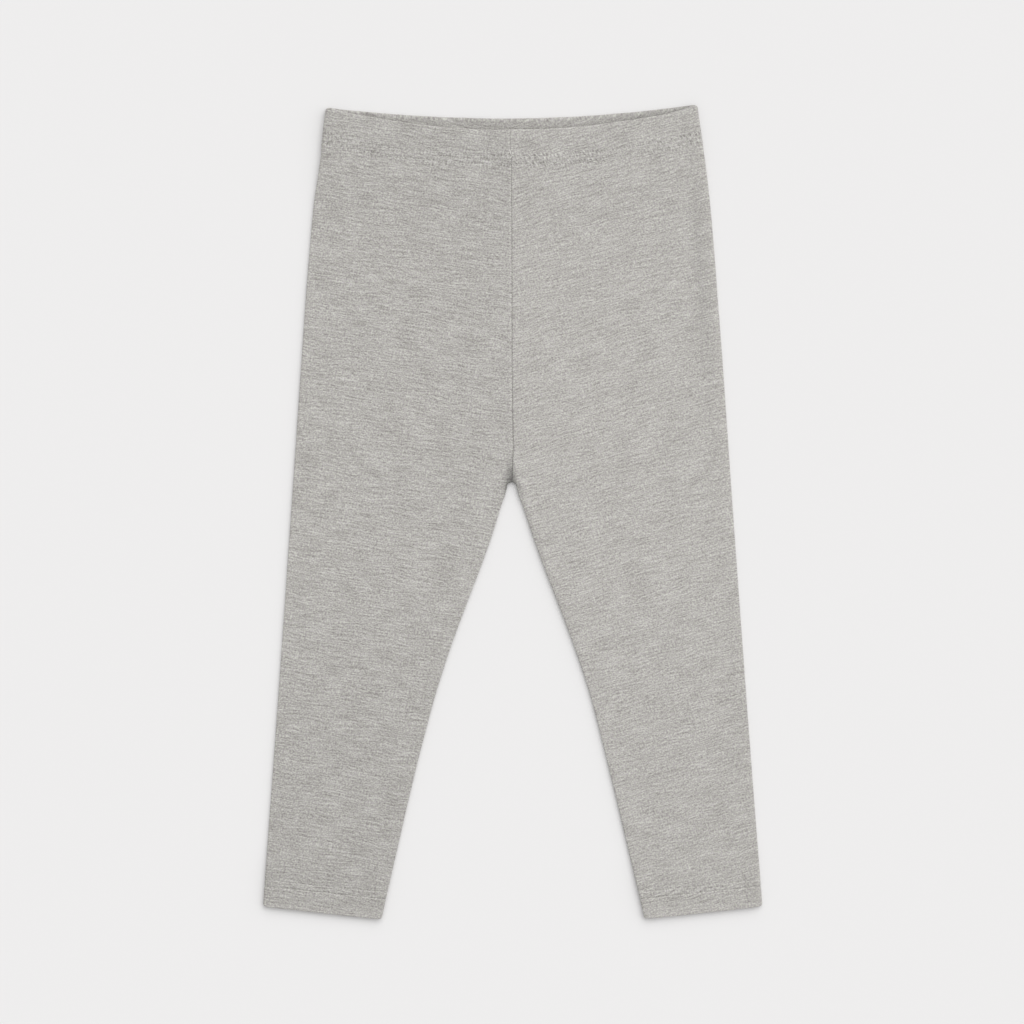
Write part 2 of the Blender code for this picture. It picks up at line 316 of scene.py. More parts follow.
casing_depths = steps_with_lines(CASING_WALL / 2, CASING_DEPTH, CASING_STITCHES)
rise_depths = [*steps(CASING_DEPTH, RISE_TURN, 1.2 * MM)[1:],
               *steps(RISE_TURN, CROTCH_SIDE_DROP, 2.1 * MM)[1:-1]]
hem_heights = steps_with_lines(HEM_WALL / 2, HEM_DEPTH, HEM_STITCHES)[::-1]
ROWS = [*map(rise_row, casing_depths + rise_depths), *arch_rows(), *leg_rows(),
        *map(hem_row, hem_heights[1:])]
print(len(ROWS), "rows,", sum(row.inseam for row in ROWS), "of them round a leg")

# %% [markdown]
# ## Columns round the garment
# Along a row the points crowd at the seams, where the relief is finest, and spread out
# over the plain panels. Each panel has the same count in every row, so they join into a
# grid of four-sided faces.

# %% Where the columns lie
NEAR_SEAM = np.array((0, .15, .3, .5, .75, 1.05, 1.4, 1.9, 2.6, 3.6, 5)) * MM
NEAR_FOLD = np.array((0, .6, 1.4, 2.4, 3.6, 5)) * MM
FRONT_PANEL, BACK_PANEL = 52, 28
FRONT_POINTS = NEAR_SEAM.size + NEAR_FOLD.size + FRONT_PANEL - 1
SIDE_TURNS = np.radians(np.linspace(90, -90, 9))[1:-1]
INSEAM_TURNS = np.radians((0, 6, 14, 26, 44, 66))  # from the seam to the front
INSEAM_COUNT = len(INSEAM_TURNS)
FOLD_RIDGE = 0.15 * MM
CROTCH_LUMP = 0.55 * MM  # four allowances meet there
HIP_DROP, HIP_REACH = 108 * MM, 75 * MM  # the left hip is hollow beside its fold
THIGH_DROP, THIGH_REACH = 268 * MM, 45 * MM  # and fuller at the inseam


def panel_columns(width, count):
    """Distances from the seam across one panel."""
    middle = np.linspace(NEAR_SEAM[-1], width - NEAR_FOLD[-1], count + 1)
    return np.concatenate((NEAR_SEAM[:-1], middle, (width - NEAR_FOLD[:-1])[::-1]))


def front_height(row, side, x, drop, from_seam, from_fold):
    height = stack_height(row.from_waist, row.from_hem)
    height += gather_height(side * x, row.from_waist) - trough_depth(side * x, drop)
    height += CROTCH_LUMP * bell(x, 8 * MM) * bell(drop - CROTCH_DROP, 10 * MM)
    ridge = bell(from_seam - 2.6 * MM, 3 * MM) * row.inseam
    slope = 0.12 * np.exp(-from_fold / (1.2 * MM))
    if side > 0:
        hollow = 0.10 + 0.45 * bell(drop - HIP_DROP, HIP_REACH)
        slope = 0.60 * np.exp(-from_fold / (3.2 * MM)) \
            - hollow * bell(from_fold - 4.5 * MM, 5.5 * MM)
        ridge *= 1 + 2.5 * bell(drop - THIGH_DROP, THIGH_REACH)
    return height + FOLD_RIDGE * ridge - slope * MM


def rounded(edge, way, half, height, turns):
    """Points round a fold, from a turn of 90 degrees on top to -90 below."""
    flat = edge + way * half * (1 - np.cos(turns))[:, None]
    return np.column_stack((flat, height * (1 + np.sin(turns)) / 2))


def row_points(row, side):
    """(x, drop and height of the points, reach from the side fold) along a row."""
    half = fold_half(row.from_waist, row.from_hem)
    inner = row.inner + row.inner_way * trimmed(INSEAM_TRIM, side, row.inner[1])
    outer = row.outer + row.outer_way * trimmed(SIDE_TRIM, side, row.outer[1])
    start, end = inner + row.inner_way * half, outer + row.outer_way * half
    width = np.linalg.norm(end - start)
    at_waist = ease(row.from_waist / (60 * MM))

    across = panel_columns(width, FRONT_PANEL)
    share = across / width
    flat = start + (end - start) * share[:, None]
    flat[:, 1] += row.bow * (share * (1 - share)) + waist_sag(side, share) * at_waist
    front_z = front_height(row, side, flat[:, 0], flat[:, 1], across, width - across)
    front = np.column_stack((flat, front_z))
    fold = rounded(outer, row.outer_way, half, front_z[-1], SIDE_TURNS)

    across_back = panel_columns(width, BACK_PANEL)[::-1]
    share = across_back / width
    lift = np.array((0, row.back_lift))
    flat = start - lift + (end - start + lift) * share[:, None]
    back_bow = row.back_bow - BACK_TIGHTER[side] * at_waist
    flat[:, 1] += back_bow * (share * (1 - share))
    back = np.column_stack((flat, np.zeros(len(flat))))

    parts = [front, fold, back]
    arc = (half + front_z[-1] / 2) * 0.8  # length of a quarter of the fold
    reach = [across - width - arc, -np.sin(SIDE_TURNS) * arc, width - across_back + arc]
    if row.inseam:
        upper, lower = (rounded(inner, row.inner_way, half, front_z[0], turns)
                        for turns in (INSEAM_TURNS, -INSEAM_TURNS[::-1]))
        quarter = (1 - INSEAM_TURNS / (math.pi / 2)) * arc
        parts = [upper, *parts, lower]
        reach = [reach[0][0] - quarter, *reach, reach[-1][-1] + quarter[::-1]]
    return np.concatenate(parts), np.concatenate(reach)


COLUMNS = len(row_points(ROWS[0], 1)[0])
print(COLUMNS, "columns in an open row,", COLUMNS + 2 * INSEAM_COUNT, "in one round a leg")

# %% [markdown]
# ## From rows to a sheet
# The rows of one side become a mesh. It is mesh code, not modelling by hand, because the
# pattern gives each of the sheet's thousands of points its place. Blender works out which
# way they face, and the sewn relief is pressed in along those directions. The garment was
# laid down by hand, so its waist lies askew.

# %% Join rows into a mesh
WAIST_LEFT, WAIST_UP = 0.3 * MM, 0.36 * MM  # how far the waist lies off the pattern
WAIST_LEAN = {1: 0.0095, -1: 0.0065}
WAIST_NARROWER = 0.006  # on the left side
UNEVEN = 0.10 * MM


def join_rows(name, rings, facing):
    """A mesh from rings of points. A short ring meets a long one at its open part."""
    ends = np.cumsum([len(ring) for ring in rings])
    numbers = np.split(np.arange(ends[-1]), ends[:-1])
    faces = []
    for upper, lower in zip(numbers, numbers[1:]):
        if len(upper) < len(lower):
            lower = lower[INSEAM_COUNT:-INSEAM_COUNT]
        quads = np.column_stack((upper[:-1], lower[:-1], lower[1:], upper[1:]))
        faces.append(quads[:, ::facing])
    mesh = bpy.data.meshes.new(name)
    mesh.from_pydata(np.concatenate(rings).tolist(), [], np.concatenate(faces).tolist())
    mesh.validate()
    return mesh


def in_place(points, side):
    """Points of x, drop and height, placed in the shared frame."""
    x, drop, height = points.T
    x = side * x + seam_drift(drop) * bell(x, 22 * MM) - WAIST_LEFT * ease(drop / (80 * MM))
    x -= WAIST_NARROWER * np.maximum(x, 0) * ease(drop / (50 * MM))
    lean = np.where(x > 0, WAIST_LEAN[1], WAIST_LEAN[-1])
    askew = (WAIST_UP + lean * x) * ease(drop / (170 * MM))
    uneven = UNEVEN * wave(x + 0.3, (47, 0.4), (29, 1.9), (19, 4)) * ease(drop / (60 * MM))
    return np.column_stack((x, LENGTH / 2 - drop + askew - uneven, height))


def unit(vectors):
    return vectors / np.linalg.norm(vectors, axis=1)[:, None]


def square_to(vectors, ways):
    """Vectors turned to a right angle with their ways, at a length of 1."""
    return unit(vectors - ways * (vectors * ways).sum(axis=1)[:, None])


# %% [markdown]
# ## Sewn relief
# A seam is a narrow ditch, where the cloth turns down between two rounded edges. The
# overlocked allowance lifts the wearer's right half a little. A row of stitches pulls a
# shallower, uneven ditch, and the four layers at the crotch pull in a small funnel. A bump
# could look like this, but the stitches have to lie in a real ditch.

# %% Ditches, ridges and the funnel at the crotch
SEAM_DITCH, SEAM_DITCH_HALF = 0.50 * MM, 0.42 * MM
SEAM_PRESSED = ((0, 28, 34, 60, 130, 170, 195), (0.30, 0.32, 0.55, 0.70, 0.80, 1, 1.3))
ALLOWANCE_LIFT = 0.12 * MM
INSEAM_DITCH, CASING_DITCH, HEM_DITCHES = 0.4 * MM, 0.15 * MM, (0.40 * MM, 0.18 * MM)
STITCH_DITCH_HALF = 0.5 * MM
FUNNEL_LENGTH, FUNNEL_DEPTH = 17 * MM, 0.25 * MM


def crotch_funnel(x, drop):
    """1 at the top of the arch, fading and narrowing upwards."""
    down = np.clip((drop - CROTCH_DROP) / FUNNEL_LENGTH + 1, 0, 1)
    return down * bell(x + 0.7 * MM, (1.5 + 2 * down) * MM) \
        * ease((drop - CROTCH_DROP - 1 * MM) / (9 * MM))


def sewn_relief(row, side, points, reach):
    """How far each point of a row moves out of the surface."""
    x, drop, _ = points.T
    on_front = np.arange(len(points)) < INSEAM_COUNT * row.inseam + FRONT_POINTS
    relief = -SEAM_DITCH * np.interp(drop / MM, *SEAM_PRESSED) \
        * np.exp(-((x / SEAM_DITCH_HALF) ** 1.5)) \
        * ease((drop - CROTCH_DROP + 1.4 * MM) / (1.2 * MM))
    if row.inseam:
        ditch = INSEAM_DITCH * bell(INSEAM_TURNS, 0.28)
        relief[:INSEAM_COUNT] -= ditch
        relief[-INSEAM_COUNT:] -= ditch[::-1]
    elif side < 0:
        relief += ALLOWANCE_LIFT * bell(x - 1.9 * MM, 1.6 * MM) * on_front
    pull = 1 + 0.3 * wave(reach + side * 0.2, (23, 0), (9.1, 2), (5.3, 4.4))
    for place in CASING_STITCHES:
        relief -= CASING_DITCH * pull * bell(row.from_waist - place, STITCH_DITCH_HALF)
    for place, depth in zip(HEM_STITCHES, HEM_DITCHES):
        relief -= depth * pull * bell(row.from_hem - place - 0.4 * MM, STITCH_DITCH_HALF)
    relief -= FUNNEL_DEPTH * crotch_funnel(side * x, drop) * on_front
    return np.where(on_front, relief, np.minimum(relief, 0))


def outer_rings(side):
    """The outer surface of a garment half: its rings, their facings and reaches."""
    flat, reaches = zip(*(row_points(row, side) for row in ROWS))
    reliefs = [sewn_relief(row, side, *known) for row, *known in zip(ROWS, flat, reaches)]
    rings = [in_place(points, side) for points in flat]
    plain = join_rows("plain", rings, side)
    normals = np.empty((len(plain.vertices), 3), np.float32)
    plain.vertex_normals.foreach_get("vector", normals.ravel())
    bpy.data.meshes.remove(plain)
    normals = np.split(normals.astype(float), np.cumsum([len(ring) for ring in rings])[:-1])
    for row, normal in zip(ROWS, normals):
        if not row.inseam:
            normal[[0, -1], 0] = 0  # the halves meet in a flat plane
    normals = [unit(normal) for normal in normals]
    rings = [ring + normal * relief[:, None]
             for ring, normal, relief in zip(rings, normals, reliefs)]
    return rings, normals, reaches


outer = {side: outer_rings(side) for side in (1, -1)}
for side, (rings, _, _) in outer.items():
    heights = np.concatenate(rings)[:, 2] / MM
    print("side", side, "heights in mm", round(heights.min(), 2), round(heights.max(), 2))

# %% [markdown]
# ## Turned edges
# At the waist the cloth turns over the elastic and runs back down inside, and at the leg
# ends it turns up inside. The inner layer is the outer one moved in by the thickness of
# the wall, and a half round joins them. A bevel could do that, but the knit has to run on
# over the edge. The round is a little squarer than a circle, because it is filled.

# %% Roll the cloth over both ends
ROLL = np.radians(np.linspace(0, 180, 8))[1:-1]
CASING_FLATNESS, HEM_FLATNESS = 0.8, 0.6  # 1 is a half circle, and less is squarer
CORNER_REACH = 6 * MM  # a rounded corner pulls the points this near


def turned(rings, normals, wall):
    return [ring - normal * wall for ring, normal in zip(rings, normals)]


def roll(side, end, beside, wall, radii, flatness):
    """Rings of a half round from an end row over to its inner layer."""
    rings, normals, reaches = outer[side]
    ring, normal, row, away = rings[end], normals[end], ROWS[end], np.abs(reaches[end])
    beyond = square_to(ring - rings[beside], normal)
    corners = (away, row.outer_way), (away.max() - away, row.inner_way)
    ways = [np.maximum(1 - distance / CORNER_REACH, 0)[:, None] * (side * x, -y, 0)
            for distance, (x, y) in corners]
    half, made = wall / 2, []
    for turn in ROLL:
        out = half * math.sin(turn) ** flatness
        pull = sum(way * (corner(half - out, radius) - corner(half, radius))
                   for way, radius in zip(ways, radii))
        made.append(ring - normal * half * (1 - math.cos(turn)) + beyond * out + pull)
    return made


# %% [markdown]
# ## Painted shade and tone
# The colour carries painted shade inside the casing, on the strip of the back that shows
# behind the waist, at the crotch, along the inseams below it, in the left hip's hollow and
# beside the left side fold, and painted highlights on the leg ends, on the right side fold
# and beside the centre seam. It is also darker over the casing, across the hems and down
# the legs. It could be painted by hand, but worked out from the distances to the edges it
# stays in place when a measure changes.

# %% Brightness of each point
FAR = 1.0  # stands for the distance from an edge that is not near
# A band darkens the cloth, or lightens it below 0: (how much, its middle, its reach).
# The first band darkens the cloth across the hems. The second is a painted highlight on the
# folds of the leg ends.
HEM_BAND, LEG_END_HIGHLIGHT = (0.035, 463 * MM, 17 * MM), (-0.14, 0, 1.3 * MM)
# Painted shade along the inseam folds below the crotch, and how it fades down the legs.
INSEAM_SHADE_BAND = {1: (1, 1.5 * MM, 1.6 * MM), -1: (1, 0.5 * MM, 0.8 * MM)}  # from the inseam
INSEAM_SHADE_FADES = {1: ((0.18, 7 * MM), (0.06, 50 * MM)), -1: ((0.26, 6 * MM),)}
# Painted shadow on the back's strip, right behind the front's waist edge.
BACK_EDGE_SHADOW = (0.08, 0, 0.8 * MM)  # right behind the front's waist edge
# Painted shade in the hollow beside the left hip's fold.
HIP_HOLLOW_SHADE = (0.06, 9 * MM, 6 * MM)  # from the side fold
# Painted shade beside the left side fold, and a painted highlight on the right side fold.
SIDE_FOLD_SHADE_AND_HIGHLIGHT = {1: (0.02, 6 * MM, 6 * MM), -1: (-0.03, 1 * MM, 1.4 * MM)}
# Painted highlight beside the centre seam on the right.
SEAM_HIGHLIGHT = (-0.07, -1 * MM, 0.5 * MM)
LEG_DULL = {1: 0.035, -1: 0.06}
# Painted shade inside the casing, a darker casing, painted shadow on the strip of the back and
# painted shade in the crotch's funnel, in this order.
INSIDE_CASING_SHADE, CASING_DULL, BACK_STRIP_SHADE, FUNNEL_PAINTED_SHADE = 0.11, 0.03, 0.075, 0.66


def band(place, darkening, middle, reach):
    return darkening * bell(place - middle, reach)


def past_start(place, start, length):
    """0 up to the start, then a soft rise to 1 over this length."""
    return 1 - ease((place - start) / length)


def about(table, drop):
    """How far out an edge lies, by straight lines."""
    drops, outs = np.array(table).T * MM
    return np.interp(drop, drops, outs)


def painted_shade_and_tone(ring, from_waist, from_hem, past, side):
    """Brightness of the cloth with painted shade and highlights, 1 where it is plain."""
    x, drop = ring[:, 0], LENGTH / 2 - ring[:, 1]
    darkening = LEG_DULL[side] * past_start(drop, 250 * MM, 180 * MM) + band(drop, *HEM_BAND)
    if from_hem >= 0:
        # Painted highlight on the leg end's fold.
        darkening += band(from_hem, *LEG_END_HIGHLIGHT)
    from_fold = about(SIDE_EDGE, drop) - side * x
    from_inseam = side * x - about(INSEAM_EDGE, drop) - trimmed(INSEAM_TRIM, side, drop)
    below = np.maximum(drop - CROTCH_DROP - 3 * MM, 0)
    # Painted shade along the inseam fold below the crotch.
    inseam_shade = sum(dark * np.exp(-below / length) for dark, length in INSEAM_SHADE_FADES[side]) \
        * band(from_inseam, *INSEAM_SHADE_BAND[side])
    darkening += inseam_shade * past_start(drop, CROTCH_DROP - 1 * MM, 4 * MM)
    if from_waist < 0:
        # Painted shade on the inside of the casing.
        darkening += INSIDE_CASING_SHADE * past_start(-from_waist, 0, 3 * MM)
    else:
        darkening += CASING_DULL * ease((from_waist - CASING_DEPTH) / (8 * MM))
    if side > 0:
        strip = (past < FAR / 2) * past_start(x, 45 * MM, 35 * MM)
        # Painted shadow on the strip of the back behind the waist edge.
        darkening += (BACK_STRIP_SHADE + band(past, *BACK_EDGE_SHADOW)) * strip
        # Painted shade in the hollow beside the left hip's fold.
        darkening += band(from_fold, *HIP_HOLLOW_SHADE) * bell(drop - HIP_DROP, HIP_REACH)
    else:
        above_crotch = ease((drop - 170 * MM) / (30 * MM))
        # Painted highlight beside the centre seam.
        darkening += band(x - seam_drift(drop), *SEAM_HIGHLIGHT) * above_crotch
    # Painted shade beside the left side fold, and a painted highlight on the right side fold.
    darkening += band(from_fold, *SIDE_FOLD_SHADE_AND_HIGHLIGHT[side])
    # Painted shade in the crotch's funnel.
    return 1 - darkening - FUNNEL_PAINTED_SHADE * crotch_funnel(x, drop)


# %% [markdown]
# ## The whole sheet
# The sheet starts inside the casing, rolls over the waist edge, runs down the outside to
# the leg end, rolls again and ends inside the hem. Every point also gets its place in the
# flat cloth, which is u round the leg and v down it, and its distances from the edges.

# %% Join the five stretches of the sheet
# Every third row goes on inside.
IN_CASING, IN_HEM = slice(2, len(casing_depths), 3), slice(-len(hem_heights), -2, 3)
WAIST_TAKES, HEM_TAKES = 2.4 * MM, 1 * MM  # cloth that the rolls use up


def past_front_edge(ring, waist_roll):
    """How far the points of a ring lie beyond the waist edge of the front."""
    front = slice(0, FRONT_POINTS)
    edge = np.max([row[front, 1] for row in waist_roll], axis=0)
    past = ring[:, 1] - np.interp(np.abs(ring[:, 0]), np.abs(waist_roll[-1][front, 0]), edge)
    past[front] = FAR
    return past


def joined(casing, waist_roll, outside, hem_roll, hem):
    """One list of the five stretches. Three run against the way of the rows."""
    return [*casing[::-1], *waist_roll[::-1], *outside, *hem_roll, *hem[::-1]]


def along_sheet(values):
    """The values of all rows, in the order in which the sheet passes them."""
    return joined(values[IN_CASING], values[:1] * len(ROLL), values, values[-1:] * len(ROLL),
                  values[IN_HEM])


def whole_sheet(side):
    """Rings of a garment half, their places in the cloth and facts on them."""
    rings, normals, reaches = outer[side]
    waist_roll = roll(side, 0, 1, CASING_WALL, (WAIST_CORNER, WAIST_CORNER), CASING_FLATNESS)
    hem_roll = roll(side, -1, -2, HEM_WALL, (HEM_CORNER, HEM_CORNER_INSEAM), HEM_FLATNESS)
    sheet = joined(turned(rings[IN_CASING], normals[IN_CASING], CASING_WALL), waist_roll,
                   rings, hem_roll, turned(rings[IN_HEM], normals[IN_HEM], HEM_WALL))

    drops = [LENGTH / 2 - ring[:, 1] for ring in rings]
    top, end = drops[0], drops[-1]
    v = joined([2 * top - drop - WAIST_TAKES for drop in drops[IN_CASING]],
               [top - turn * CASING_WALL / 2 for turn in ROLL], drops,
               [end + turn * HEM_WALL / 2 for turn in ROLL],
               [2 * end - drop + HEM_TAKES for drop in drops[IN_HEM]])
    places = np.column_stack((np.concatenate(along_sheet(reaches)), np.concatenate(v)))

    rows = along_sheet(ROWS)
    counts = [len(part) for part in (ROWS[IN_CASING], ROLL, ROWS, ROLL, ROWS[IN_HEM])]
    from_waist = np.repeat((-1, 0, 1, 1, 1), counts) \
        * [FAR if row.inseam else row.from_waist for row in rows]
    from_hem = np.repeat((1, 1, 1, 0, -1), counts) * [row.from_hem for row in rows]
    behind = sum(counts[:2])
    past = [past_front_edge(ring, waist_roll) for ring in sheet[:behind]]
    past += [np.full(len(ring), FAR) for ring in sheet[behind:]]
    painted_shades_and_tones = [painted_shade_and_tone(*known, side) for known in zip(sheet, from_waist, from_hem, past)]
    sizes = [len(ring) for ring in sheet]
    return sheet, places, {
        "from_waist": np.repeat(from_waist, sizes), "from_hem": np.repeat(from_hem, sizes),
        "past_edge": np.concatenate(past), "painted_shade_and_tone": np.concatenate(painted_shades_and_tones)}


# %% [markdown]
# ## Give the sheet its thickness
# The places in the cloth become a UV map in metres, so that the knit follows the cloth
# round every fold, and the distances and the painted shade and tone become attributes. A
# Solidify modifier makes the sheet 0.8 mm thick on the inside, so the outline stays as it is.

# %% Make both halves of the garment
def add_object(name, data):
    made = bpy.data.objects.new(name, data)
    bpy.context.scene.collection.objects.link(made)
    return made


def cloth_half(name, side):
    rings, places, facts = whole_sheet(side)
    mesh = join_rows(name, rings, side)
    corners = np.empty(len(mesh.loops), int)
    mesh.loops.foreach_get("vertex_index", corners)
    weave = mesh.uv_layers.new(name="cloth")
    weave.uv.foreach_set("vector", places[corners].astype(np.float32).ravel())
    for key, values in facts.items():
        layer = mesh.attributes.new(key, "FLOAT", "POINT")
        layer.data.foreach_set("value", values.astype(np.float32))
    cloth = add_object(name, mesh)
    bpy.ops.object.select_all(action="DESELECT")
    bpy.context.view_layer.objects.active = cloth
    cloth.select_set(True)
    area = sum(face.area for face in mesh.polygons)
    thicken = cloth.modifiers.new("thickness", "SOLIDIFY")
    thicken.thickness = JERSEY
    thicken.offset = -1
    bpy.ops.object.modifier_apply(modifier=thicken.name)
    bpy.ops.object.shade_smooth_by_angle(angle=math.radians(60))
    print(f"{name}: {area:.4f} m2 of jersey, {2 * len(cloth.data.polygons)} triangles")
    return cloth


cloths = {1: cloth_half("cloth_left", 1), -1: cloth_half("cloth_right", -1)}

# %% [markdown]
# ## Stitches
# A twin needle leaves two parallel rows of straight stitches, each a short length of
# thread that dives into the cloth at both ends. One is modelled from a small sphere, and
# the rest are copies of it that follow the row.

# %% Model one stitch
STITCH_LENGTH, STITCH_PITCH = 2.1 * MM, 2.5 * MM
STITCH_DIVE, THREAD = 0.16 * MM, 0.30 * MM

bpy.ops.mesh.primitive_uv_sphere_add(
    segments=6, ring_count=5, radius=0.5, rotation=(0, math.pi / 2, 0))
stitch = bpy.context.object
stitch.name = "one_stitch"
bpy.ops.object.transform_apply()
bpy.ops.object.mode_set(mode="EDIT")
bpy.ops.mesh.select_all(action="SELECT")
bpy.ops.transform.resize(value=(STITCH_LENGTH, THREAD, THREAD))
bpy.ops.object.mode_set(mode="OBJECT")
one_stitch = np.array([v.co for v in stitch.data.vertices])
one_stitch[:, 2] -= STITCH_DIVE * (np.abs(one_stitch[:, 0]) / (STITCH_LENGTH / 2)) ** 2.5
stitch_faces = [tuple(face.vertices) for face in stitch.data.polygons]
bpy.data.objects.remove(stitch, do_unlink=True)
print("one stitch has", len(stitch_faces), "faces")

# %% [markdown]
# The copies go along the rows of the finished surface, in the ditches that they pull. A
# hand-guided machine wanders, so each turns and shifts a little, by a seeded generator
# that repeats. In a few stretches they stand proud of the cloth. One long tack beside the
# centre seam holds the elastic.

# %% Places of the stitches along a row
rng = np.random.default_rng(7)
SHIFT_ALONG, SHIFT_ACROSS, SHIFT_TURN = 0.06 * MM, 0.04 * MM, 0.05
SUNK, PROUD_LIFT = 0.02 * MM, 0.17 * MM


def nearest_row(key, place):
    return int(np.argmin([abs(getattr(row, key) - place) for row in ROWS]))


def stitch_row(side, index):
    """Places, ways and facings of the stitches along one row of the outer surface."""
    clear = 2 if ROWS[index].inseam else 4  # points next to the seam that stay free
    line, normal = (values[index][clear:-clear] for values in outer[side][:2])
    along = np.concatenate(([0], np.cumsum(np.linalg.norm(np.diff(line, axis=0), axis=1))))
    places = np.arange(STITCH_PITCH * 0.6, along[-1] - STITCH_PITCH * 0.4, STITCH_PITCH)
    places += rng.normal(0, SHIFT_ALONG, len(places))
    at, ahead, up = (
        np.column_stack([np.interp(where, along, column) for column in values.T])
        for where, values in ((places, line), (places + 0.4 * MM, line), (places, normal)))
    way = unit(ahead - at)
    up = square_to(up, way)
    across = np.cross(up, way)
    lean = rng.normal(0, SHIFT_TURN, len(places))[:, None]
    way, across = way + across * lean, across - way * lean
    at = at + up * SUNK + across * rng.normal(0, SHIFT_ACROSS, len(places))[:, None]
    return at, way, across, up


casing_lines = [nearest_row("from_waist", place) for place in CASING_STITCHES[::-1]]
hem_lines = [nearest_row("from_hem", place) for place in HEM_STITCHES]
print("stitched rows:", casing_lines, hem_lines)

# %% Lay the stitches
# (middle x, half length) of the proud stretches in the first row of each piece.
PROUD = {"casing_stitches_left": ((0.002, 0.0014), (0.052, 0.012)),
         "casing_stitches_right": ((-0.066, 0.014),),
         "hem_stitches_left": ((0.098, 0.011),),
         "hem_stitches_right": ((-0.123, 0.015), (-0.088, 0.006))}
PROUD_THICKER = 0.3
TACK_X, TACK_BELOW_WAIST = -1.2 * MM, 13.8 * MM
TACK_SIZE = (4.4 * MM / STITCH_LENGTH, 2.2, 1.4)  # in stitches
TACK_LEAN = math.radians(15)


def tack():
    line = outer[-1][0][nearest_row("from_waist", TACK_BELOW_WAIST)]
    at = line[np.argmin(np.abs(line[:INSEAM_COUNT * 2, 0] - TACK_X))] + (0, 0, PROUD_LIFT)
    way = np.array((math.sin(TACK_LEAN), -math.cos(TACK_LEAN), 0))
    across = np.array((way[1], -way[0], 0))
    return at + one_stitch * TACK_SIZE @ np.array((way, across, (0, 0, 1)))


def thread_rows(name, side, lines):
    """One mesh of the stitches on some lines. The first has the proud stretches."""
    points = []
    for line in lines:
        for at, way, across, up in zip(*stitch_row(side, line)):
            proud = max(bell(at[0] - x, half) for x, half in PROUD[name]) * (up[2] > 0)
            proud *= line == lines[0]
            thicker = 1 + PROUD_THICKER * proud
            shape = one_stitch * (1, thicker, thicker)
            points.append(at + up * PROUD_LIFT * proud + shape @ np.array((way, across, up)))
            points[-1][:, 2] = np.maximum(points[-1][:, 2], 0)
    if name == "casing_stitches_right":
        points.append(tack())
    faces = [tuple(k * len(one_stitch) + corner for corner in face)
             for k in range(len(points)) for face in stitch_faces]
    mesh = bpy.data.meshes.new(name)
    mesh.from_pydata(np.concatenate(points).tolist(), [], faces, shade_flat=False)
    print(name, len(points), "stitches")
    return add_object(name, mesh)


threads = {}
for side, name in ((1, "left"), (-1, "right")):
    threads[side] = [thread_rows(f"casing_stitches_{name}", side, casing_lines),
                     thread_rows(f"hem_stitches_{name}", side, hem_lines)]

# %% [markdown]
# ## Heather yarn
# Heather jersey is knitted from yarn that mixes pale and dark fibres, so each course
# shows short light and dark streaks. An image could carry them, but a node group turns
# with the grain and doesn't repeat. It adds up four layers of noise, which are short and
# longer streaks, fine grain and a soft cloudiness, and faint bands along the courses. The
# grain also goes out as a tint, because single fibres differ in colour too.

# %% Node helpers
def feed(made, **values):
    """Sets up a node. A name in small letters is a setting, and others are inputs."""
    for key, value in values.items():
        if key.islower():
            setattr(made, key, value)
            continue
        socket = made.inputs[int(key[1:]) if key[0] == "_" else key.replace("_", " ")]
        if isinstance(value, bpy.types.NodeSocket):
            made.id_data.links.new(value, socket)
        else:
            socket.default_value = value


def node(tree, kind, **values):
    """Adds a shader node and returns its first output."""
    made = tree.nodes.new("ShaderNode" + kind)
    feed(made, **values)
    return made.outputs[0]


def calc(tree, operation, *values):
    return node(tree, "Math", operation=operation,
                **{f"_{k}": value for k, value in enumerate(values)})


def sine(tree, turns):
    return calc(tree, "SINE", calc(tree, "MULTIPLY", turns, 2 * math.pi))


def centred(tree, value, strength):
    """A value from 0 to 1 as a push down or up."""
    return calc(tree, "MULTIPLY", calc(tree, "SUBTRACT", value, 0.5), strength)


def noise(tree, place, across, along, seed, detail=0):
    """Noise in cells of this size in mm. The seed moves it to another place."""
    where = node(tree, "Mapping", Vector=place, Location=(seed, seed * 1.7, 0),
                 Scale=(1 / (across * MM), 1 / (along * MM), 1))
    return node(tree, "TexNoise", noise_dimensions="2D", Vector=where, Scale=1, Detail=detail)


def new_group(name, numbers, *results):
    """A node group that takes a Place and numbers with these defaults."""
    group = bpy.data.node_groups.new(name, "ShaderNodeTree")
    socket = group.interface.new_socket
    socket("Place", in_out="INPUT", socket_type="NodeSocketVector")
    for label, default in numbers.items():
        socket(label, in_out="INPUT", socket_type="NodeSocketFloat").default_value = default
    for label in results:
        socket(label, in_out="OUTPUT", socket_type="NodeSocketFloat")
    return group, group.nodes.new("NodeGroupInput").outputs, group.nodes.new("NodeGroupOutput")


# %% The heather group
# (strength, mm across a cell, mm along it, seed, detail) of each layer.
LAYERS = {"Short": (0.60, 2.7, 0.95, 3.1, 1), "Long": (0.56, 14, 1.05, 11.3, 1),
          "Grain": (0.76, 1, 0.74, 23.7, 0), "Cloud": (0.27, 16, 9, 31.9, 2)}
COURSE_BANDS = 0.15
COURSE_REPEAT = 1.8 * MM  # every third course is knitted from the same cone
YARN_WANDER = 2.6 * MM


